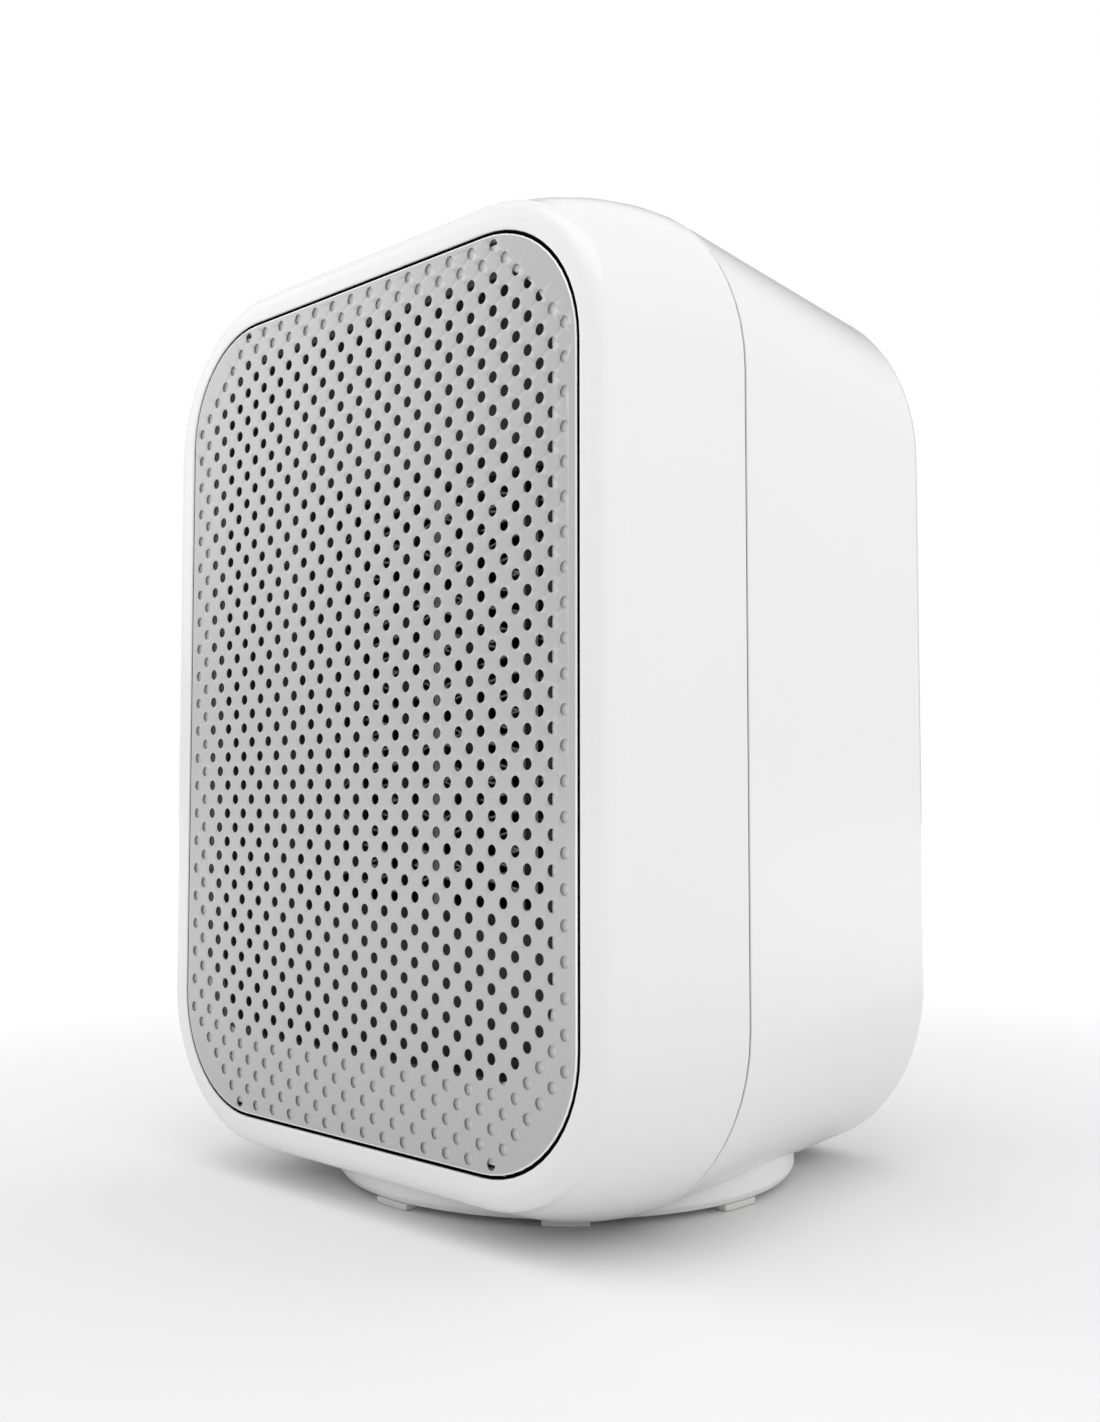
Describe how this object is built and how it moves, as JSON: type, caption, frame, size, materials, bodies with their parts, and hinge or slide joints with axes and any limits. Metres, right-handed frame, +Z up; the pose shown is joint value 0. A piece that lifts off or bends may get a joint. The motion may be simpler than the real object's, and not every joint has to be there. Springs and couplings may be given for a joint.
{
  "type": "desktop ceramic fan heater",
  "caption": "Palm-sized fan heater: rounded white two-shell housing with a perforated metal grille over a ceramic heater and fan, on a low swivelling base.",
  "frame": {"origin": "on the swivel axis, at the floor under the base's pads", "axes": "+Z up along the swivel axis, the grille faces -Y, +X to the right seen from the front"},
  "size_m": [0.1028, 0.081, 0.136],
  "materials": {
    "shell_white": "satin gloss moulded plastic",
    "base_white": "satin moulded plastic",
    "pad_soft": "soft pads",
    "grille_metal": "fine matte metallic",
    "dark_plastic": "heat-resistant moulded plastic",
    "shroud_plastic": "moulded plastic",
    "fin_aluminium": "thin folded strip",
    "ceramic": "unglazed ceramic",
    "brass": "stamped",
    "steel": "zinc plated",
    "bush_bronze": "sintered",
    "board_green": "coated laminate",
    "part_blue": "moulded case",
    "part_yellow": "moulded case",
    "copper_winding": "enamelled winding",
    "part_green": "moulded case",
    "part_black": "moulded case",
    "button_white": "moulded plastic",
    "lens_clear": "milky lens",
    "gland_black": "moulded rubber",
    "lead_red": "silicone insulation",
    "lead_blue": "insulation",
    "washer_pale": "slippery plastic",
    "washer_felt": "friction felt",
    "plunger_cream": "moulded plastic"
  },
  "bodies": {
    "base": {"base_disc": "base_white", "base_cover": "base_white", "base_pads": "pad_soft", "cover_screws": "steel", "swivel_washer": "washer_pale", "friction_washer": "washer_felt", "swivel_retainer": "steel", "swivel_screws": "steel", "tip_spring": "steel"},
    "housing": {"front_shell": "shell_white", "rear_shell": "shell_white", "grille_plate": "grille_metal", "duct": "dark_plastic", "duct_screws": "steel", "heater_frame": "dark_plastic", "heater_fins": "fin_aluminium", "heater_tubes": "fin_aluminium", "divider_plate": "fin_aluminium", "ptc_stones": "ceramic", "heater_terminals": "brass", "thermostat": "ceramic", "thermal_fuse": "ceramic", "fan_shroud": "shroud_plastic", "shroud_screws": "steel", "motor_can": "steel", "motor_bush": "bush_bronze", "motor_screws": "steel", "control_board": "board_green", "board_screws": "steel", "relay": "part_blue", "capacitor": "part_yellow", "choke": "copper_winding", "terminal_block": "part_green", "power_switch": "part_black", "led_lens": "lens_clear", "inlet_gland": "gland_black", "tip_switch": "part_black", "heater_leads": "lead_red", "motor_leads": "lead_blue", "shell_screws": "steel"},
    "fan": {"motor_shaft": "steel", "fan_impeller": "shroud_plastic"},
    "button": {"power_button": "button_white"},
    "plunger": {"tip_plunger": "plunger_cream"}
  },
  "joints": [
    {"name": "base_swivel", "type": "hinge", "parent": "base", "child": "housing", "pos_m": [0, 0, 0.007], "axis": [0, 0, 1], "range_deg": [-45, 45]},
    {"name": "fan_spin", "type": "hinge", "parent": "housing", "child": "fan", "pos_m": [0, 0.0105, 0.07065], "axis": [0, 1, 0], "continuous": true},
    {"name": "power_press", "type": "slide", "parent": "housing", "child": "button", "axis": [0, 1, 0], "range_m": [-0.0015, 0], "stiffness_N_per_m": 400},
    {"name": "tip_travel", "type": "slide", "parent": "base", "child": "plunger", "axis": [0, 0, 1], "range_m": [-0.0015, 0], "stiffness_N_per_m": 60, "springref_m": -0.003, "deforming": ["tip_spring"]}
  ]
}
